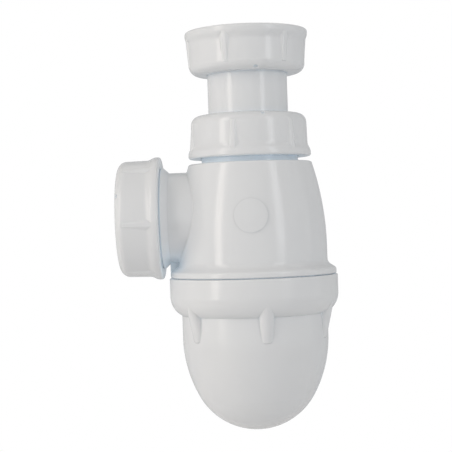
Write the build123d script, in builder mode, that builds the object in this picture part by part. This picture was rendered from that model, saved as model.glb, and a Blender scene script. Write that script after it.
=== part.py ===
from build123d import *
from math import cos, radians, sin, sqrt
import os

# Telescopic bottle trap for a wash basin, in millimetres.
# +Z is up and the front is -Y. The origin is on the inlet axis, on top of the inlet washer,
# where the tail of the basin waste seals. The outlet leaves along -X.

# Standard sizes: 1 1/4 inch waste pipe, parallel pipe thread and water seal
PIPE_R = 34.6 / 2
THREAD_R = 41.91 / 2
WATER_SEAL = 50

# Places of the main pieces
COLLAR_FACE_Z = -25.6
BODY_TOP_Z = -46.5
OUTLET_Z = -69.2
OUTLET_FACE_X = -57.4
RING_BOTTOM_Z = -95.2
TUBE_END_Z = -90

# Clearances, on the radius or between faces
PIPE_GAP = 0.35
SEAL_GAP = 0.15
THREAD_GAP = 0.25
RING_GAP = 0.2
CUP_GAP = 0.2

# Union nut, the same moulding three times
NUT_H = 18.6
NUT_FACE_T = 3.0
NUT_HOLE_R = 17.6
NUT_FOOT_R = 25.0
NUT_FOOT_ROUND = 4.0
NUT_WALL_R = 25.3
NUT_FLARE_H = 6.2
NUT_LIP_R = 26.6
NUT_LIP_BAND = 0.5
NUT_LIP_ROUND = 1.0
NUT_RECESS_R = 19.6
NUT_RECESS_H = 3.4
NUT_MOUTH_CHAMFER = 0.7
NUT_RIBS = 6
NUT_RIB_SINK = 0.1
NUT_RIB_ROOT_R = 23.6
NUT_RIB_FOOT_H = 3.2
NUT_RIB_FOOT_R = 25.3
NUT_RIB_FOOT_W = (5.4, 1.4)
NUT_RIB_LIP_W = (11.4, 1.6)
NUT_RIB_ROUND = 0.5
GATE_R = 0.95
GATE_DEPTH = 1.4
GATE_PLACE_R = 23.3

# Rings and seals inside the nuts
FLANGE_T = 2.5
WASHER_T = 2.5
WASHER_EDGE = 0.1
SLIP_T = 1.2
SEAL_LAND_T = 3.0
SEAL_NOSE = 1.0

# Inlet tube
TUBE_WALL = 1.8
TUBE_LEAD = 0.8
FLANGE_R = 19.3
FLANGE_ROUND = 0.5

# Body
NECK_R = 19.5
NECK_CHAMFER = 0.4
LAND_H = 3.0
BODY_WALL = 2.4
ROOF_T = 2.8
ROOF_ROUND = 2.0
SHOULDER_R = 26.7
SHOULDER_ROUND = 1.0
FLANK_R = 32.3
FLANK_Z = -84
RING_R = 36.0
RING_ROOT_Z = -90.4
RING_ROOT_RUN = 1.6
RING_CREST_Z = -92.8
RING_NOSE_ROUND = 1.3
RING_EDGE_ROUND = 0.6
SKIRT_R = 32.9
SKIRT_H = 8.4
SKIRT_CHAMFER = 0.8
SLEEVE_R = 19.5
STOP_RING_R = 22.1
STOP_RING_X = -38.35
STOP_RING_T = 0.3
STOP_RING_RUN = 2.7
WEB_T = 3.0
WEB_EDGE_X = -35.95
SOCKET_STOP_X = -36
BRANCH_BORE_R = 16
BRANCH_FILLET = 0.6
BRANCH_REACH = 1.5
ROUNDEL_R = 7.0
ROUNDEL_Z = -69.3
ROUNDEL_PROUD = 0.45

# Cup
CUP_R = 36.5
CUP_EDGE_ROUND = 0.6
CUP_WALL = 2.3
CUP_BORE_R = 34.35
CUP_BORE_CHAMFER = 0.6
CUP_SEAL_T = 2.4
CUP_SEAL_R = (30.2, 34.0)
CUP_STRAIGHT_H = 8.0
CUP_TURN_R = 9.35
BOWL_R = 31.6
BOWL_EQUATOR_Z = -121.5
BOWL_DEPTH = 40.5
BOWL_TIP_R = 28.5
CUP_RIBS = 6
CUP_RIB_TOP_Z = -105.4
CUP_RIB_LENGTH = 17.5
CUP_RIB_CREST_R = 36.25
CUP_RIB_R = 3.15
CUP_RIB_DEPTH = 4.0
CUP_RIB_SLOPE = 13.5
CUP_RIB_END_ROUND = 0.8

# How far each ribbed piece is turned: one rib's angle from the front, towards +X or, at the outlet, upwards
INLET_NUT_TURN = -20.4
COLLAR_NUT_TURN = 45.3
OUTLET_NUT_TURN = 54.4
CUP_RIB_TURN = 9.2

# What follows from the sizes above
SOCKET_R = PIPE_R + PIPE_GAP
NUT_BORE_R = THREAD_R + THREAD_GAP
STACK_H = NUT_FACE_T + SLIP_T + SEAL_LAND_T
INLET_FACE_Z = -(WASHER_T + FLANGE_T + NUT_FACE_T)
NECK_END_Z = COLLAR_FACE_Z - STACK_H
BRANCH_END = -OUTLET_FACE_X - STACK_H
ROOF_Z = BODY_TOP_Z - ROOF_T
CHAMBER_R = FLANK_R - BODY_WALL
CHAMBER_ROOF_R = SHOULDER_R - BODY_WALL
SKIRT_END_Z = RING_BOTTOM_Z - SKIRT_H
SLEEVE_END_Z = OUTLET_Z - BRANCH_BORE_R - WATER_SEAL
CUP_TOP_Z = RING_BOTTOM_Z - CUP_GAP
CUP_LEDGE_Z = SKIRT_END_Z - CUP_SEAL_T


def from_front(angle):
    """Level direction at an angle from the front, towards +X."""
    return Vector(sin(radians(angle)), -cos(radians(angle)), 0)


def section(seat):
    """Plane for a turned profile: x is the radius and y the height along the seat's axis."""
    return Plane(seat.origin, x_dir=seat.x_dir, z_dir=-seat.y_dir)


def seat_axis(seat):
    """Axis of a piece that is turned about its seat."""
    return Axis(seat.origin, seat.z_dir)


def corner(profile, x, y):
    """The vertex of a profile nearest to a point."""
    return profile.vertices().sort_by_distance((x, y, 0))[0]


# A nut's seat is the middle of its closed face, with the axis towards its mouth and x through one rib
inlet_seat = Plane((0, 0, INLET_FACE_Z), from_front(INLET_NUT_TURN), (0, 0, 1))
collar_seat = Plane((0, 0, COLLAR_FACE_Z), from_front(COLLAR_NUT_TURN), (0, 0, -1))
outlet_rib = (0, -cos(radians(OUTLET_NUT_TURN)), sin(radians(OUTLET_NUT_TURN)))
outlet_seat = Plane((OUTLET_FACE_X, 0, OUTLET_Z), outlet_rib, (1, 0, 0))
branch_seat = Plane((0, 0, OUTLET_Z), (0, 0, 1), (-1, 0, 0))


def nut_rib_section(crest_r, widths):
    root_w, crest_w = widths
    with BuildLine() as outline:
        Polyline(
            (NUT_RIB_ROOT_R, -root_w / 2),
            (crest_r, -crest_w / 2),
            (crest_r, crest_w / 2),
            (NUT_RIB_ROOT_R, root_w / 2),
            close=True,
        )
    make_face(outline.edges())


# Grip rib in the nut's own frame: a wedge that ends in the lip and is a trace proud of the wall at the foot
with BuildPart() as nut_rib:
    with BuildSketch(Plane.XY.offset(NUT_RIB_FOOT_H)):
        nut_rib_section(NUT_RIB_FOOT_R, NUT_RIB_FOOT_W)
    with BuildSketch(Plane.XY.offset(NUT_H - NUT_LIP_ROUND - NUT_LIP_BAND)):
        nut_rib_section(NUT_LIP_R - NUT_RIB_SINK, NUT_RIB_LIP_W)
    loft(ruled=True)
    crest = nut_rib.faces().sort_by(Axis.X)[-1]
    fillet(crest.edges().filter_by(Axis.Y, reverse=True), NUT_RIB_ROUND)


def union_nut(label, seat):
    """Nut with a closed face that holds the stack of rings, a threaded mouth, a flared lip and grip ribs."""
    edge_h = NUT_H - NUT_LIP_ROUND
    bead_h = edge_h - NUT_LIP_BAND
    flare_h = NUT_H - NUT_FLARE_H
    flare_middle = ((NUT_WALL_R + NUT_LIP_R) / 2, (flare_h + bead_h) / 2)
    recess_h = NUT_FACE_T + NUT_RECESS_H
    with BuildPart(seat) as nut:
        with BuildSketch(section(seat)) as wall:
            with BuildLine():
                Polyline((NUT_HOLE_R, 0), (NUT_FOOT_R, 0), (NUT_WALL_R, flare_h))
                TangentArc((NUT_WALL_R, flare_h), flare_middle, tangent=(0, 1))
                TangentArc((NUT_LIP_R, bead_h), flare_middle, tangent=(0, -1))
                Line((NUT_LIP_R, bead_h), (NUT_LIP_R, edge_h))
                TangentArc((NUT_LIP_R, edge_h), (NUT_LIP_R - NUT_LIP_ROUND, NUT_H), tangent=(0, 1))
                Polyline(
                    (NUT_LIP_R - NUT_LIP_ROUND, NUT_H),
                    (NUT_BORE_R + NUT_MOUTH_CHAMFER, NUT_H),
                    (NUT_BORE_R, NUT_H - NUT_MOUTH_CHAMFER),
                    (NUT_BORE_R, recess_h + NUT_BORE_R - NUT_RECESS_R),
                    (NUT_RECESS_R, recess_h),
                    (NUT_RECESS_R, NUT_FACE_T),
                    (NUT_HOLE_R, NUT_FACE_T),
                    (NUT_HOLE_R, 0),
                )
            make_face()
            fillet(corner(wall, NUT_FOOT_R, 0), NUT_FOOT_ROUND)
        revolve(axis=seat_axis(seat))
        with PolarLocations(0, NUT_RIBS):
            add(nut_rib.part)
        with BuildSketch(seat):
            with PolarLocations(GATE_PLACE_R, 1, start_angle=180 / NUT_RIBS):
                Circle(GATE_R)
        extrude(amount=GATE_DEPTH, mode=Mode.SUBTRACT)
    nut.part.label = label
    return nut


def slip_ring(label, seat):
    """Hard ring that lets a nut turn without dragging its seal."""
    with BuildPart() as ring:
        with BuildSketch(seat.offset(NUT_FACE_T)):
            Circle(NUT_RECESS_R - RING_GAP)
            Circle(SOCKET_R, mode=Mode.SUBTRACT)
        extrude(amount=SLIP_T)
    ring.part.label = label
    return ring


def wedge_seal(label, seat):
    """Rubber ring on the end of a neck, with a wedge nose in the chamfer of the neck's bore."""
    back = NUT_FACE_T + SLIP_T
    with BuildPart() as seal:
        with BuildSketch(section(seat)):
            with BuildLine():
                Polyline(
                    (PIPE_R + SEAL_GAP, back),
                    (NUT_RECESS_R - RING_GAP, back),
                    (NUT_RECESS_R - RING_GAP, STACK_H),
                    (SOCKET_R + SEAL_NOSE, STACK_H),
                    (SOCKET_R, STACK_H + SEAL_NOSE),
                    (PIPE_R + SEAL_GAP, STACK_H + SEAL_NOSE),
                    close=True,
                )
            make_face()
        revolve(axis=seat_axis(seat))
    seal.part.label = label
    return seal


inlet_nut = union_nut("inlet_nut", inlet_seat)
collar_nut = union_nut("collar_nut", collar_seat)
collar_slip_ring = slip_ring("collar_slip_ring", collar_seat)
collar_seal = wedge_seal("collar_seal", collar_seat)
outlet_nut = union_nut("outlet_nut", outlet_seat)
outlet_slip_ring = slip_ring("outlet_slip_ring", outlet_seat)
outlet_seal = wedge_seal("outlet_seal", outlet_seat)


# Inlet washer, flat on the flange of the tube
with BuildPart() as inlet_washer:
    with BuildSketch(Plane.XY.offset(-WASHER_T)):
        Circle(FLANGE_R - WASHER_EDGE)
        Circle(PIPE_R - TUBE_WALL + WASHER_EDGE, mode=Mode.SUBTRACT)
    extrude(amount=WASHER_T)
inlet_washer.part.label = "inlet_washer"


# Inlet tube, hung from its flange in the inlet nut
with BuildPart() as inlet_tube:
    with BuildSketch(Plane.XZ) as tube_wall:
        with BuildLine():
            Polyline(
                (PIPE_R - TUBE_WALL, -WASHER_T),
                (FLANGE_R, -WASHER_T),
                (FLANGE_R, -WASHER_T - FLANGE_T),
                (PIPE_R, -WASHER_T - FLANGE_T),
                (PIPE_R, TUBE_END_Z),
                (PIPE_R - TUBE_WALL, TUBE_END_Z),
                close=True,
            )
        make_face()
        chamfer(corner(tube_wall, PIPE_R, TUBE_END_Z), TUBE_LEAD)
        fillet(corner(tube_wall, FLANGE_R, -WASHER_T), FLANGE_ROUND)
    revolve(axis=Axis.Z)
inlet_tube.part.label = "inlet_tube"


def flank_profile(grown):
    """Outer form of the body from its top to its ring, grown outwards by an amount."""
    with BuildLine() as outline:
        Line((0, BODY_TOP_Z), (SHOULDER_R + grown, BODY_TOP_Z))
        TangentArc((FLANK_R + grown, FLANK_Z), (SHOULDER_R + grown, BODY_TOP_Z), tangent=(0, 1))
        Polyline(
            (FLANK_R + grown, FLANK_Z),
            (FLANK_R + grown, RING_CREST_Z),
            (0, RING_CREST_Z),
            (0, BODY_TOP_Z),
        )
    make_face(outline.edges())


# Bare roundel on the front: a button cut from a slightly larger body
with BuildPart() as roundel:
    with BuildSketch(Plane.XZ):
        flank_profile(ROUNDEL_PROUD)
    revolve(axis=Axis.Z)
    with BuildSketch(Plane.XZ.offset(CHAMBER_R)):
        with Locations((0, ROUNDEL_Z)):
            Circle(ROUNDEL_R)
    extrude(amount=RING_R - CHAMBER_R, mode=Mode.INTERSECT)


# Body: shell and branch as one solid, then hollowed, then the dip sleeve that makes the water seal
with BuildPart() as trap_body:
    with BuildSketch(Plane.XZ) as shell:
        flank_profile(0)
        fillet(corner(shell, SHOULDER_R, BODY_TOP_Z), SHOULDER_ROUND)
    revolve(axis=Axis.Z)

    # Branch with the coned ring that the outlet nut stops at, which reaches into the mouth of the nut
    flare_end = -STOP_RING_X - STOP_RING_T
    cone_h = STOP_RING_R - THREAD_R
    with BuildSketch(section(branch_seat)):
        with BuildLine():
            Polyline(
                (0, BRANCH_END),
                (0, 0),
                (NECK_R, 0),
                (NECK_R, flare_end - STOP_RING_RUN),
                (STOP_RING_R, flare_end),
                (STOP_RING_R, -STOP_RING_X),
                (THREAD_R, -STOP_RING_X + cone_h),
                (THREAD_R, -STOP_RING_X + cone_h + STOP_RING_T),
                (NECK_R, -STOP_RING_X + cone_h + STOP_RING_T),
                (NECK_R, BRANCH_END - NECK_CHAMFER),
                (NECK_R - NECK_CHAMFER, BRANCH_END),
                (0, BRANCH_END),
            )
        make_face()
    revolve(axis=seat_axis(branch_seat))
    fillet(trap_body.edges().filter_by(GeomType.BSPLINE), BRANCH_FILLET)
    add(roundel.part)

    # Neck with the plain land under its thread
    with BuildSketch(Plane.XZ):
        with BuildLine():
            Polyline(
                (0, NECK_END_Z),
                (NECK_R - NECK_CHAMFER, NECK_END_Z),
                (NECK_R, NECK_END_Z - NECK_CHAMFER),
                (NECK_R, BODY_TOP_Z + LAND_H),
                (THREAD_R, BODY_TOP_Z + LAND_H),
                (THREAD_R, BODY_TOP_Z),
                (0, BODY_TOP_Z),
                close=True,
            )
        make_face()
    revolve(axis=Axis.Z)

    # Ring over the cup, and the skirt that the cup screws on
    root_top = RING_ROOT_Z + RING_ROOT_RUN
    root_slope = Vector(RING_R - FLANK_R, RING_CREST_Z - RING_ROOT_Z).normalized()
    root_end = Vector(FLANK_R, RING_ROOT_Z) + root_slope * RING_ROOT_RUN
    with BuildSketch(Plane.XZ) as ring_profile:
        with BuildLine():
            Polyline((0, SKIRT_END_Z), (0, root_top), (FLANK_R, root_top))
            TangentArc((FLANK_R, root_top), root_end, tangent=(0, -1))
            Polyline(
                root_end,
                (RING_R, RING_CREST_Z),
                (RING_R, RING_BOTTOM_Z),
                (SKIRT_R, RING_BOTTOM_Z),
                (SKIRT_R, SKIRT_END_Z),
                (0, SKIRT_END_Z),
            )
        make_face()
        fillet(corner(ring_profile, RING_R, RING_CREST_Z), RING_NOSE_ROUND)
        fillet(corner(ring_profile, RING_R, RING_BOTTOM_Z), RING_EDGE_ROUND)
        chamfer(corner(ring_profile, SKIRT_R, SKIRT_END_Z), SKIRT_CHAMFER)
    revolve(axis=Axis.Z)

    # Web between the ring and the underside of the branch
    with BuildSketch(Plane.XZ):
        with BuildLine():
            Polyline(
                (WEB_EDGE_X, RING_BOTTOM_Z + RING_EDGE_ROUND),
                (-CHAMBER_R, RING_BOTTOM_Z + RING_EDGE_ROUND),
                (-CHAMBER_R, OUTLET_Z - SOCKET_R),
                (WEB_EDGE_X, OUTLET_Z - SOCKET_R),
                close=True,
            )
        make_face()
    extrude(amount=WEB_T / 2, both=True)

    # Chamber
    with BuildSketch(Plane.XZ) as hollow:
        with BuildLine():
            Line((0, ROOF_Z), (CHAMBER_ROOF_R, ROOF_Z))
            TangentArc((CHAMBER_R, FLANK_Z), (CHAMBER_ROOF_R, ROOF_Z), tangent=(0, 1))
            Polyline((CHAMBER_R, FLANK_Z), (CHAMBER_R, SKIRT_END_Z), (0, SKIRT_END_Z), (0, ROOF_Z))
        make_face()
        fillet(corner(hollow, CHAMBER_ROOF_R, ROOF_Z), ROOF_ROUND)
    revolve(axis=Axis.Z, mode=Mode.SUBTRACT)

    # Dip sleeve, and the bore of neck and sleeve
    with BuildSketch(Plane.XY.offset(SLEEVE_END_Z)):
        Circle(SLEEVE_R)
    extrude(amount=BODY_TOP_Z - SLEEVE_END_Z)
    with BuildSketch(Plane.XZ):
        with BuildLine():
            Polyline(
                (0, NECK_END_Z),
                (SOCKET_R + SEAL_NOSE, NECK_END_Z),
                (SOCKET_R, NECK_END_Z - SEAL_NOSE),
                (SOCKET_R, SLEEVE_END_Z),
                (0, SLEEVE_END_Z),
                close=True,
            )
        make_face()
    revolve(axis=Axis.Z, mode=Mode.SUBTRACT)

    # Pipe socket and waterway of the branch, which stops short of the sleeve
    with BuildSketch(section(branch_seat)):
        with BuildLine():
            Polyline(
                (0, SLEEVE_R + BRANCH_REACH),
                (BRANCH_BORE_R, SLEEVE_R + BRANCH_REACH),
                (BRANCH_BORE_R, -SOCKET_STOP_X),
                (SOCKET_R, -SOCKET_STOP_X),
                (SOCKET_R, BRANCH_END - SEAL_NOSE),
                (SOCKET_R + SEAL_NOSE, BRANCH_END),
                (0, BRANCH_END),
                close=True,
            )
        make_face()
    revolve(axis=seat_axis(branch_seat), mode=Mode.SUBTRACT)
trap_body.part.label = "trap_body"


# Grip rib of the cup: a half-round bar that leans into the wall, on straight sides that reach inside it
rib_out = from_front(CUP_RIB_TURN)
rib_lean = radians(CUP_RIB_SLOPE)
rib_down = Vector(0, 0, -cos(rib_lean)) - rib_out * sin(rib_lean)
rib_proud = rib_out * cos(rib_lean) - Vector(0, 0, sin(rib_lean))
rib_top = rib_out * CUP_RIB_CREST_R + Vector(0, 0, CUP_RIB_TOP_Z)
rib_seat = Plane(rib_top - rib_proud * CUP_RIB_R, x_dir=rib_proud, z_dir=rib_down)

with BuildPart() as cup_rib:
    with BuildSketch(rib_seat):
        Circle(CUP_RIB_R)
        with Locations((-CUP_RIB_DEPTH / 2, 0)):
            Rectangle(CUP_RIB_DEPTH, 2 * CUP_RIB_R)
    extrude(amount=CUP_RIB_LENGTH)
    rib_end = cup_rib.faces().sort_by(Axis(rib_seat.origin, rib_down))[-1]
    fillet(rib_end.edges().filter_by(GeomType.CIRCLE), CUP_RIB_END_ROUND)


# Bowl: a side arc that starts upright at the equator, and a tip arc that meets it in tangent
spread = BOWL_R**2 + BOWL_DEPTH**2
bowl_side_r = (spread - 2 * BOWL_DEPTH * BOWL_TIP_R) / (2 * (BOWL_R - BOWL_TIP_R))
side_centre = Vector(BOWL_R - bowl_side_r, BOWL_EQUATOR_Z)
tip_centre = Vector(0, BOWL_EQUATOR_Z - BOWL_DEPTH + BOWL_TIP_R)


def bowl_outline(inset):
    """Right half of the bowl's outline from the equator to the tip, moved inwards by an amount."""
    meet = tip_centre + (tip_centre - side_centre).normalized() * (BOWL_TIP_R - inset)
    TangentArc((BOWL_R - inset, BOWL_EQUATOR_Z), meet, tangent=(0, -1))
    TangentArc((0, BOWL_EQUATOR_Z - BOWL_DEPTH + inset), meet, tangent=(1, 0))


# Cup: rim, rounded shoulder and bowl with its ribs, then hollowed down to a ledge for the seal and the bowl
turn_z = CUP_TOP_Z - CUP_STRAIGHT_H
turn_in = CUP_R - BOWL_R
turn_end = Vector(BOWL_R, turn_z - sqrt(2 * CUP_TURN_R * turn_in - turn_in**2))
bowl_bore_r = BOWL_R - CUP_WALL

with BuildPart() as bottle_cup:
    with BuildSketch(Plane.XZ) as cup_outside:
        with BuildLine():
            Polyline((0, CUP_TOP_Z), (CUP_R, CUP_TOP_Z), (CUP_R, turn_z))
            TangentArc((CUP_R, turn_z), turn_end, tangent=(0, -1))
            Line(turn_end, (BOWL_R, BOWL_EQUATOR_Z))
            bowl_outline(0)
            Line((0, BOWL_EQUATOR_Z - BOWL_DEPTH), (0, CUP_TOP_Z))
        make_face()
        fillet(corner(cup_outside, CUP_R, CUP_TOP_Z), CUP_EDGE_ROUND)
    revolve(axis=Axis.Z)
    with PolarLocations(0, CUP_RIBS):
        add(cup_rib.part)
    with BuildSketch(Plane.XZ):
        with BuildLine():
            Polyline(
                (0, CUP_TOP_Z),
                (CUP_BORE_R + CUP_BORE_CHAMFER, CUP_TOP_Z),
                (CUP_BORE_R, CUP_TOP_Z - CUP_BORE_CHAMFER),
                (CUP_BORE_R, CUP_LEDGE_Z),
                (bowl_bore_r, CUP_LEDGE_Z),
                (bowl_bore_r, BOWL_EQUATOR_Z),
            )
            bowl_outline(CUP_WALL)
            Line((0, BOWL_EQUATOR_Z - BOWL_DEPTH + CUP_WALL), (0, CUP_TOP_Z))
        make_face()
    revolve(axis=Axis.Z, mode=Mode.SUBTRACT)
bottle_cup.part.label = "bottle_cup"


# Flat seal on the ledge of the cup
with BuildPart() as cup_seal:
    with BuildSketch(Plane.XY.offset(CUP_LEDGE_Z)):
        Circle(CUP_SEAL_R[1])
        Circle(CUP_SEAL_R[0], mode=Mode.SUBTRACT)
    extrude(amount=CUP_SEAL_T)
cup_seal.part.label = "cup_seal"


pieces = [
    trap_body,
    inlet_tube,
    inlet_nut,
    inlet_washer,
    collar_nut,
    collar_slip_ring,
    collar_seal,
    outlet_nut,
    outlet_slip_ring,
    outlet_seal,
    bottle_cup,
    cup_seal,
]
os.makedirs("parts", exist_ok=True)
for piece in pieces:
    export_step(piece.part, f"parts/{piece.part.label}.step")
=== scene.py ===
from math import cos, pi, radians, sin

import bmesh
import bpy
from mathutils import Matrix, Vector


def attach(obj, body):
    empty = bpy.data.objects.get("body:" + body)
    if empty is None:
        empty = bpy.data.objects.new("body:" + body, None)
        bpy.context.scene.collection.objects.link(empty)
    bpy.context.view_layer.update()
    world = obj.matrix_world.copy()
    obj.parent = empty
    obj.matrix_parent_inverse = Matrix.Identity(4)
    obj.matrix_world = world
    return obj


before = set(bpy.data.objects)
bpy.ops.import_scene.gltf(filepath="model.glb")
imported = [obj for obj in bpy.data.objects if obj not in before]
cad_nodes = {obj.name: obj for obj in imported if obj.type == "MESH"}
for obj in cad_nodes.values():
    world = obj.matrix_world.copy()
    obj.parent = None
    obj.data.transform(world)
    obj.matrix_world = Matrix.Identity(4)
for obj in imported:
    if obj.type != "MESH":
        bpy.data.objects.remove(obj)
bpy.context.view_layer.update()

MM = 0.001

# Seats of the threads, in millimetres: they repeat the part's own places
NECK_LAND_Z = -43.5
NECK_R = 19.5
NUT_BORE_R = 21.205
BRANCH_LAND_X = -39.8
OUTLET_Z = -69.2
SKIRT_R = 32.9
SKIRT_END_Z = -103.6
CUP_BORE_R = 34.35

# Forms of the threads, in millimetres
PIPE_PITCH = 2.309
PIPE_DEPTH = 1.3
CUP_PITCH = 3.2
SKIRT_DEPTH = 1.15
CUP_DEPTH = 1.1
PIPE_RIDGE = {"pitch": PIPE_PITCH, "root_half": 0.8, "crest_half": 0.18}
CUP_RIDGE = {"pitch": CUP_PITCH, "root_half": 1.05, "crest_half": 0.4}
RIDGE_SINK = 0.15
PIPE_LEAD_IN = 0.4
SKIRT_LEAD_IN = 1.6
INLET_THREAD_Z = 1.2

# Run-out at each end of a thread, in turns, and the share of the ridge that is left at the very end
RUN_OUT = 0.2
RUN_OUT_SHARE = 0.05
STEPS_PER_TURN = 72
SHARP_ANGLE = radians(40)

# Finishes
RUBBER_NODES = ("inlet_washer", "collar_seal", "outlet_seal", "cup_seal")
WHITE = "#e0e3e5"
COOLER_WHITE = "#dbdee2"
# Colour of the painted shade in fine corners
CORNER_SHADE_WHITE = "#cbced1"
# Colour of the painted light where plastic faces plastic
PAINTED_GLOW_WHITE = "#eef7ff"
RUBBER_BLACK = "#262728"
RUBBER_BLOOM = "#3c3d3e"

# Sockets of a Mix node that mixes colours
MIX_SHARE, MIX_A, MIX_B, MIX_RESULT = 0, 6, 7, 2


def linear(hex_colour, alpha=1.0):
    """Turns an sRGB hex value into the linear colour that a socket takes."""
    parts = [int(hex_colour[i:i + 2], 16) / 255 for i in (1, 3, 5)]
    return [p / 12.92 if p <= 0.04045 else ((p + 0.055) / 1.055) ** 2.4 for p in parts] + [alpha]


def scale_for(size):
    """Noise scale whose features are about this many millimetres across."""
    return 1 / (size * MM)


def put(tree, kind, settings=None, inputs=None):
    """Adds one node. Settings are its properties, and inputs are values or other nodes' sockets."""
    made = tree.nodes.new(kind)
    for name, value in (settings or {}).items():
        setattr(made, name, value)
    for name, value in (inputs or {}).items():
        if isinstance(value, bpy.types.NodeSocket):
            tree.links.new(value, made.inputs[name])
        else:
            made.inputs[name].default_value = value
    return made


def empty_material(name):
    """New material with no nodes, and its tree."""
    material = bpy.data.materials.new(name)
    material.use_nodes = True
    material.node_tree.nodes.clear()
    return material, material.node_tree


def add_object(name, data):
    """Puts a new object at the scene's origin."""
    made = bpy.data.objects.new(name, data)
    bpy.context.scene.collection.objects.link(made)
    return made


def finished_mesh(shape, name, material):
    """Turns a shape into a mesh of one material and lets the shape go."""
    mesh = bpy.data.meshes.new(name)
    shape.to_mesh(mesh)
    shape.free()
    mesh.materials.append(material)
    return mesh


def white_polypropylene():
    """Polypropylene copolymer, white pigment, moulded against polished steel.
    The eye gets a soft mirror with a trace of orange peel, clouds of slightly cooler and warmer white
    where the melt flowed, painted shade in fine corners, painted paler and bluer light where plastic faces
    plastic, and duller streaks from handling."""
    material, tree = empty_material("white_polypropylene")
    place = put(tree, "ShaderNodeTexCoord").outputs["Object"]
    # Melt clouds about 25 mm across
    clouds = put(tree, "ShaderNodeTexNoise", inputs={
        "Vector": place, "Scale": scale_for(25), "Detail": 3.0})
    tint = put(tree, "ShaderNodeMix", {"data_type": "RGBA"}, {
        MIX_SHARE: clouds.outputs[0], MIX_A: linear(WHITE), MIX_B: linear(COOLER_WHITE)})
    # Painted shade in fine corners, about 1 mm wide, darkened into the colour: at the roundel, the ribs and
    # the lips
    corner = put(tree, "ShaderNodeAmbientOcclusion", {"samples": 8}, {"Distance": 1.2 * MM})
    painted_corner_shade = put(tree, "ShaderNodeMapRange", inputs={
        "Value": corner.outputs["AO"], "From Min": 0.95, "From Max": 0.55})
    tint = put(tree, "ShaderNodeMix", {"data_type": "RGBA"}, {
        MIX_SHARE: painted_corner_shade.outputs[0], MIX_A: tint.outputs[MIX_RESULT], MIX_B: linear(CORNER_SHADE_WHITE)})
    # Painted light: where plastic faces plastic within about 14 mm, the colour is made paler and bluer,
    # standing in for light that has gone through the walls
    nearby = put(tree, "ShaderNodeAmbientOcclusion", {"samples": 8}, {"Distance": 14 * MM})
    painted_glow_share = put(tree, "ShaderNodeMapRange", inputs={
        "Value": nearby.outputs["AO"], "From Min": 0.7, "From Max": 0.22})
    tint = put(tree, "ShaderNodeMix", {"data_type": "RGBA"}, {
        MIX_SHARE: painted_glow_share.outputs[0], MIX_A: tint.outputs[MIX_RESULT], MIX_B: linear(PAINTED_GLOW_WHITE)})
    # Handling streaks about 3 mm wide and ten times as long, along the height
    streak_place = put(tree, "ShaderNodeMapping", inputs={"Vector": place, "Scale": (1.0, 1.0, 0.1)})
    streaks = put(tree, "ShaderNodeTexNoise", inputs={
        "Vector": streak_place.outputs[0], "Scale": scale_for(3), "Detail": 4.0})
    gloss = put(tree, "ShaderNodeMapRange", inputs={
        "Value": streaks.outputs[0], "From Min": 0.3, "From Max": 0.7, "To Min": 0.14, "To Max": 0.2})
    # Orange peel about 1.4 mm from crest to crest, a few micrometres high
    peel = put(tree, "ShaderNodeTexNoise", inputs={
        "Vector": place, "Scale": scale_for(1.4), "Detail": 2.0})
    skin = put(tree, "ShaderNodeBump", inputs={
        "Height": peel.outputs[0], "Strength": 0.12, "Distance": 0.02 * MM})
    # Light spreads about 1 mm under the skin
    surface = put(tree, "ShaderNodeBsdfPrincipled", {"subsurface_method": "RANDOM_WALK"}, {
        "Base Color": tint.outputs[MIX_RESULT], "Roughness": gloss.outputs[0], "IOR": 1.49,
        "Normal": skin.outputs[0], "Subsurface Weight": 0.3, "Subsurface Radius": (1.0, 1.0, 1.0),
        "Subsurface Scale": 1.0 * MM})
    put(tree, "ShaderNodeOutputMaterial", inputs={"Surface": surface.outputs[0]})
    return material


def seal_rubber():
    """EPDM rubber, moulded and dusted: near-black, matt, with a grey bloom in patches and a fine grain."""
    material, tree = empty_material("seal_rubber")
    place = put(tree, "ShaderNodeTexCoord").outputs["Object"]
    # Bloom in patches about 6 mm across
    bloom = put(tree, "ShaderNodeTexNoise", inputs={
        "Vector": place, "Scale": scale_for(6), "Detail": 5.0})
    tint = put(tree, "ShaderNodeMix", {"data_type": "RGBA"}, {
        MIX_SHARE: bloom.outputs[0], MIX_A: linear(RUBBER_BLACK), MIX_B: linear(RUBBER_BLOOM)})
    # Grain of 0.4 mm, drawn twice as coarse as the real one so that it shows
    grain = put(tree, "ShaderNodeTexNoise", inputs={
        "Vector": place, "Scale": scale_for(0.4), "Detail": 2.0})
    skin = put(tree, "ShaderNodeBump", inputs={
        "Height": grain.outputs[0], "Strength": 0.4, "Distance": 0.03 * MM})
    surface = put(tree, "ShaderNodeBsdfPrincipled", inputs={
        "Base Color": tint.outputs[MIX_RESULT], "Roughness": 0.62, "IOR": 1.52, "Normal": skin.outputs[0]})
    put(tree, "ShaderNodeOutputMaterial", inputs={"Surface": surface.outputs[0]})
    return material


plastic = white_polypropylene()
rubber = seal_rubber()

for name, piece in cad_nodes.items():
    piece.data.materials.clear()
    piece.data.materials.append(rubber if name in RUBBER_NODES else plastic)


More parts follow.
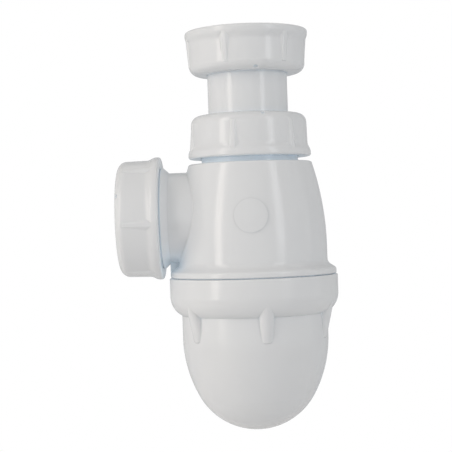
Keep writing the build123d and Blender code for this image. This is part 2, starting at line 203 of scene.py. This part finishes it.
def thread_tree():
    """Screw thread as a ridge swept up a right-hand helix, with both ends run out into the wall."""
    tree = bpy.data.node_groups.new("thread_ridge", "GeometryNodeTree")
    tree.interface.new_socket("Geometry", in_out="OUTPUT", socket_type="NodeSocketGeometry")
    for name in ("Wall Radius", "Pitch", "Turns", "Depth", "Sink", "Root Half Width", "Crest Half Width"):
        tree.interface.new_socket(name, in_out="INPUT", socket_type="NodeSocketFloat")
    tree.interface.new_socket("Finish", in_out="INPUT", socket_type="NodeSocketMaterial")
    given = put(tree, "NodeGroupInput").outputs
    height = put(tree, "ShaderNodeMath", {"operation": "MULTIPLY"}, {
        0: given["Pitch"], 1: given["Turns"]})
    helix = put(tree, "GeometryNodeCurveSpiral", inputs={
        "Resolution": STEPS_PER_TURN, "Rotations": given["Turns"], "Start Radius": given["Wall Radius"],
        "End Radius": given["Wall Radius"], "Height": height.outputs[0], "Reverse": True})
    upright = put(tree, "GeometryNodeSetCurveNormal", {"mode": "Z_UP"}, {"Curve": helix.outputs[0]})
    # Section of the ridge: wide at its sunk root, narrow at its crest
    below = {}
    for name in ("Root Half Width", "Crest Half Width"):
        turned_over = put(tree, "ShaderNodeMath", {"operation": "MULTIPLY"}, {0: given[name], 1: -1.0})
        below[name] = turned_over.outputs[0]
    corners = [
        put(tree, "ShaderNodeCombineXYZ", inputs={"X": x, "Y": y}).outputs[0]
        for x, y in (
            (given["Sink"], below["Root Half Width"]),
            (given["Depth"], below["Crest Half Width"]),
            (given["Depth"], given["Crest Half Width"]),
            (given["Sink"], given["Root Half Width"]),
        )
    ]
    ridge = put(tree, "GeometryNodeCurvePrimitiveQuadrilateral", {"mode": "POINTS"}, {
        f"Point {i + 1}": corner for i, corner in enumerate(corners)})
    # The ridge shrinks towards both ends of the helix
    along = put(tree, "GeometryNodeSplineParameter").outputs["Factor"]
    from_end = put(tree, "ShaderNodeMath", {"operation": "PINGPONG"}, {0: along, 1: 0.5})
    turned = put(tree, "ShaderNodeMath", {"operation": "MULTIPLY"}, {
        0: from_end.outputs[0], 1: given["Turns"]})
    full = put(tree, "ShaderNodeMapRange", {"interpolation_type": "SMOOTHSTEP"}, {
        "Value": turned.outputs[0], "From Max": RUN_OUT, "To Min": RUN_OUT_SHARE})
    swept = put(tree, "GeometryNodeCurveToMesh", inputs={
        "Curve": upright.outputs[0], "Profile Curve": ridge.outputs[0], "Scale": full.outputs[0],
        "Fill Caps": True})
    real = put(tree, "GeometryNodeRealizeInstances", inputs={0: swept.outputs[0]})
    finished = put(tree, "GeometryNodeSetMaterial", inputs={
        "Geometry": real.outputs[0], "Material": given["Finish"]})
    put(tree, "NodeGroupOutput", inputs={0: finished.outputs[0]})
    return tree


thread = thread_tree()


def thread_mesh(wall_r, depth, pitch, turns, root_half, crest_half, seat):
    """One thread as a plain mesh on its seat. A negative depth points inwards."""
    host = add_object("thread", bpy.data.meshes.new("thread"))
    ridge = host.modifiers.new("ridge", "NODES")
    ridge.node_group = thread
    values = {
        "Wall Radius": wall_r * MM, "Pitch": pitch * MM, "Turns": turns, "Depth": depth * MM,
        "Sink": -RIDGE_SINK * MM if depth > 0 else RIDGE_SINK * MM,
        "Root Half Width": root_half * MM, "Crest Half Width": crest_half * MM, "Finish": plastic}
    for socket in thread.interface.items_tree:
        if socket.in_out == "INPUT":
            ridge[socket.identifier] = values[socket.name]
    done = bpy.data.meshes.new_from_object(host.evaluated_get(bpy.context.evaluated_depsgraph_get()))
    bpy.data.objects.remove(host)
    done.transform(seat)
    return done


def threaded_piece(name, body, meshes):
    """Joins threads of one body into one piece that rides on it."""
    shape = bmesh.new()
    for mesh in meshes:
        shape.from_mesh(mesh)
    bmesh.ops.recalc_face_normals(shape, faces=shape.faces)
    joined = finished_mesh(shape, name, plastic)
    joined.shade_smooth()
    joined.set_sharp_from_angle(angle=SHARP_ANGLE)
    piece = add_object(name, joined)
    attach(piece, body)


def upright_seat(z):
    """Seat on the upright axis."""
    return Matrix.Translation((0, 0, z * MM))


def branch_seat(x):
    """Seat on the outlet axis, with its own z away from the body."""
    return Matrix.Translation((x * MM, 0, OUTLET_Z * MM)) @ Matrix.Rotation(-pi / 2, 4, "Y")


# A nut's or cup's ridge runs half a pitch beside the ridge that it screws on
neck_start = NECK_LAND_Z + PIPE_LEAD_IN
branch_start = BRANCH_LAND_X - PIPE_LEAD_IN
skirt_start = SKIRT_END_Z + SKIRT_LEAD_IN
collar_seat = upright_seat(neck_start + PIPE_PITCH / 2)
outlet_seat = branch_seat(branch_start - PIPE_PITCH / 2)
cup_seat = upright_seat(skirt_start + CUP_PITCH / 2)
threaded_piece("body_threads", "body", [
    thread_mesh(NECK_R, PIPE_DEPTH, turns=4.1, seat=upright_seat(neck_start), **PIPE_RIDGE),
    thread_mesh(NECK_R, PIPE_DEPTH, turns=3.9, seat=branch_seat(branch_start), **PIPE_RIDGE),
    thread_mesh(SKIRT_R, SKIRT_DEPTH, turns=1.6, seat=upright_seat(skirt_start), **CUP_RIDGE),
])
threaded_piece("inlet_nut_thread", "inlet_nut", [
    thread_mesh(NUT_BORE_R, -PIPE_DEPTH, turns=3.5, seat=upright_seat(INLET_THREAD_Z), **PIPE_RIDGE)])
threaded_piece("collar_nut_thread", "collar_nut", [
    thread_mesh(NUT_BORE_R, -PIPE_DEPTH, turns=3.0, seat=collar_seat, **PIPE_RIDGE)])
threaded_piece("outlet_nut_thread", "outlet_nut", [
    thread_mesh(NUT_BORE_R, -PIPE_DEPTH, turns=3.0, seat=outlet_seat, **PIPE_RIDGE)])
threaded_piece("cup_thread", "cup", [
    thread_mesh(CUP_BORE_R, -CUP_DEPTH, turns=1.3, seat=cup_seat, **CUP_RIDGE)])


# Camera at the photograph's place: level, 0.56 m off, with the picture rolled two degrees. Angles in radians
CAMERA_PLACE = Vector((4.915, -557.28, -71.46)) * MM
CAMERA_YAW = -0.02911
CAMERA_PITCH = -0.0036
CAMERA_ROLL = -0.03358
CAMERA_NEAR = 0.02
SENSOR = 36.0
FOCAL_PX = 1280.34
PHOTO_PX = 452

look = Vector((
    sin(CAMERA_YAW) * cos(CAMERA_PITCH), cos(CAMERA_YAW) * cos(CAMERA_PITCH), sin(CAMERA_PITCH)))
level = Vector((cos(CAMERA_YAW), -sin(CAMERA_YAW), 0))
rise = level.cross(look)
right = level * cos(CAMERA_ROLL) + rise * sin(CAMERA_ROLL)
up = rise * cos(CAMERA_ROLL) - level * sin(CAMERA_ROLL)
camera_data = bpy.data.cameras.new("camera")
camera_data.sensor_fit = "HORIZONTAL"
camera_data.sensor_width = SENSOR
camera_data.lens = SENSOR * FOCAL_PX / PHOTO_PX
camera_data.clip_start = CAMERA_NEAR
camera = add_object("camera", camera_data)
camera.matrix_world = Matrix.Translation(CAMERA_PLACE) @ Matrix((right, up, -look)).transposed().to_4x4()
bpy.context.scene.camera = camera

# Studio, in metres: two upright soft boxes for the long highlights, a wide fill and three glow lamps
MIDDLE = Vector((0, 0, -76)) * MM
WARM_LIGHT = "#fff6ed"
PLAIN_LIGHT = "#fcfdff"
COOL_LIGHT = "#f2f9ff"
BOX_REACH = 1.15
WIDE_REACH = 1.6
WIDE = (1.2, 1.2)


def outward(bearing, height):
    """Direction from the trap. Bearing is degrees from the front towards +X, and height is the elevation."""
    flat = cos(radians(height))
    return Vector((sin(radians(bearing)) * flat, -cos(radians(bearing)) * flat, sin(radians(height))))


def soft_box(name, bearing, height, reach, size, radiance, colour, in_gloss=True, shadows=True):
    """Area lamp turned to the trap, as bright as its radiance whatever its size."""
    lamp = bpy.data.lights.new(name, "AREA")
    lamp.shape = "RECTANGLE"
    lamp.size, lamp.size_y = size
    lamp.energy = radiance * pi * size[0] * size[1]
    lamp.color = linear(colour)[:3]
    lamp.use_shadow = shadows
    box = add_object(name, lamp)
    away = outward(bearing, height)
    facing = away.to_track_quat("Z", "Y").to_matrix().to_4x4()
    box.matrix_world = Matrix.Translation(MIDDLE + reach * away) @ facing
    box.visible_glossy = in_gloss


soft_box(
    "left_box", bearing=-52, height=19, reach=BOX_REACH, size=(0.24, 1.11), radiance=3.6, colour=WARM_LIGHT)
soft_box(
    "right_box", bearing=44, height=22, reach=BOX_REACH, size=(0.25, 1.05), radiance=2.2, colour=PLAIN_LIGHT)
soft_box(
    "left_fill", bearing=-82, height=10, reach=WIDE_REACH, size=WIDE, radiance=1.05, colour=WARM_LIGHT,
    in_gloss=False)
# Thin white walls let light through, so gaps and bores stay pale: the glow lamps cast no shadows
for glow_bearing in (-60, 60, 180):
    soft_box(
        f"wall_glow_{glow_bearing % 360}", bearing=glow_bearing, height=8, reach=WIDE_REACH, size=WIDE,
        radiance=0.7, colour=COOL_LIGHT, in_gloss=False, shadows=False)


def studio_world():
    """White for the eye, for gloss and through clear things, and a plainer and warmer level as light."""
    world = bpy.data.worlds.new("studio")
    world.use_nodes = True
    tree = world.node_tree
    tree.nodes.clear()
    ray = put(tree, "ShaderNodeLightPath").outputs
    seen = put(tree, "ShaderNodeMath", {"operation": "MAXIMUM"}, {
        0: ray["Is Camera Ray"], 1: ray["Is Glossy Ray"]})
    seen = put(tree, "ShaderNodeMath", {"operation": "MAXIMUM"}, {
        0: seen.outputs[0], 1: ray["Is Transmission Ray"]})
    ambient = put(tree, "ShaderNodeBackground", inputs={"Color": linear("#fff9f3"), "Strength": 0.49})
    white = put(tree, "ShaderNodeBackground", inputs={"Color": linear("#ffffff"), "Strength": 1.0})
    both = put(tree, "ShaderNodeMixShader", inputs={
        0: seen.outputs[0], 1: ambient.outputs[0], 2: white.outputs[0]})
    put(tree, "ShaderNodeOutputWorld", inputs={"Surface": both.outputs[0]})
    return world


bpy.context.scene.world = studio_world()

# Floor and screen, in metres, with the screen's bearings in degrees
FLOOR_Z = -0.6
FLOOR_R = 2.5
FLOOR_SEGMENTS = 96
FADE_FROM = 0.6
FADE_TO = 2.1
SCREEN_R = 1.2
SCREEN_HALF_H = 1.3
SCREEN_FROM = 100
SCREEN_TO = 260
SCREEN_STEPS = 32


def floor_paper():
    """Pale matt paper that fades to white away from the middle."""
    material, tree = empty_material("studio_floor")
    place = put(tree, "ShaderNodeTexCoord").outputs["Object"]
    far = put(tree, "ShaderNodeVectorMath", {"operation": "LENGTH"}, {0: place})
    fade = put(tree, "ShaderNodeMapRange", {"interpolation_type": "SMOOTHSTEP"}, {
        "Value": far.outputs["Value"], "From Min": FADE_FROM, "From Max": FADE_TO})
    paper = put(tree, "ShaderNodeBsdfDiffuse", inputs={"Color": linear("#f0f1f2")})
    glow = put(tree, "ShaderNodeEmission", inputs={"Color": linear("#ffffff"), "Strength": 1.0})
    ray = put(tree, "ShaderNodeLightPath").outputs
    share = put(tree, "ShaderNodeMath", {"operation": "MULTIPLY"}, {
        0: fade.outputs[0], 1: ray["Is Camera Ray"]})
    sheet = put(tree, "ShaderNodeMixShader", inputs={
        0: share.outputs[0], 1: paper.outputs[0], 2: glow.outputs[0]})
    put(tree, "ShaderNodeOutputMaterial", inputs={"Surface": sheet.outputs[0]})
    return material


def pale_floor():
    """Round floor well under the trap, which hangs from its basin."""
    disc = bmesh.new()
    bmesh.ops.create_circle(disc, cap_ends=True, segments=FLOOR_SEGMENTS, radius=FLOOR_R)
    disc.transform(Matrix.Translation((0, 0, FLOOR_Z)))
    floor = add_object("floor", finished_mesh(disc, "floor", floor_paper()))


def grey_screen():
    """Curved grey screen round the back of the trap that only gloss sees. It keeps white rims off white."""
    material, tree = empty_material("grey_screen")
    board = put(tree, "ShaderNodeEmission", inputs={"Color": linear("#babcbe"), "Strength": 1.0})
    put(tree, "ShaderNodeOutputMaterial", inputs={"Surface": board.outputs[0]})
    sweep = bmesh.new()
    step = (SCREEN_TO - SCREEN_FROM) / SCREEN_STEPS
    around = [SCREEN_R * outward(SCREEN_FROM + step * i, 0) for i in range(SCREEN_STEPS + 1)]
    lower, upper = (
        [sweep.verts.new(MIDDLE + spoke + Vector((0, 0, z))) for spoke in around]
        for z in (-SCREEN_HALF_H, SCREEN_HALF_H))
    for i in range(SCREEN_STEPS):
        sweep.faces.new((lower[i], lower[i + 1], upper[i + 1], upper[i]))
    screen = add_object("grey_screen", finished_mesh(sweep, "grey_screen", material))
    screen.visible_camera = False
    screen.visible_diffuse = False
    screen.visible_transmission = False
    screen.visible_shadow = False


pale_floor()
grey_screen()

bpy.context.scene.view_settings.view_transform = "Standard"
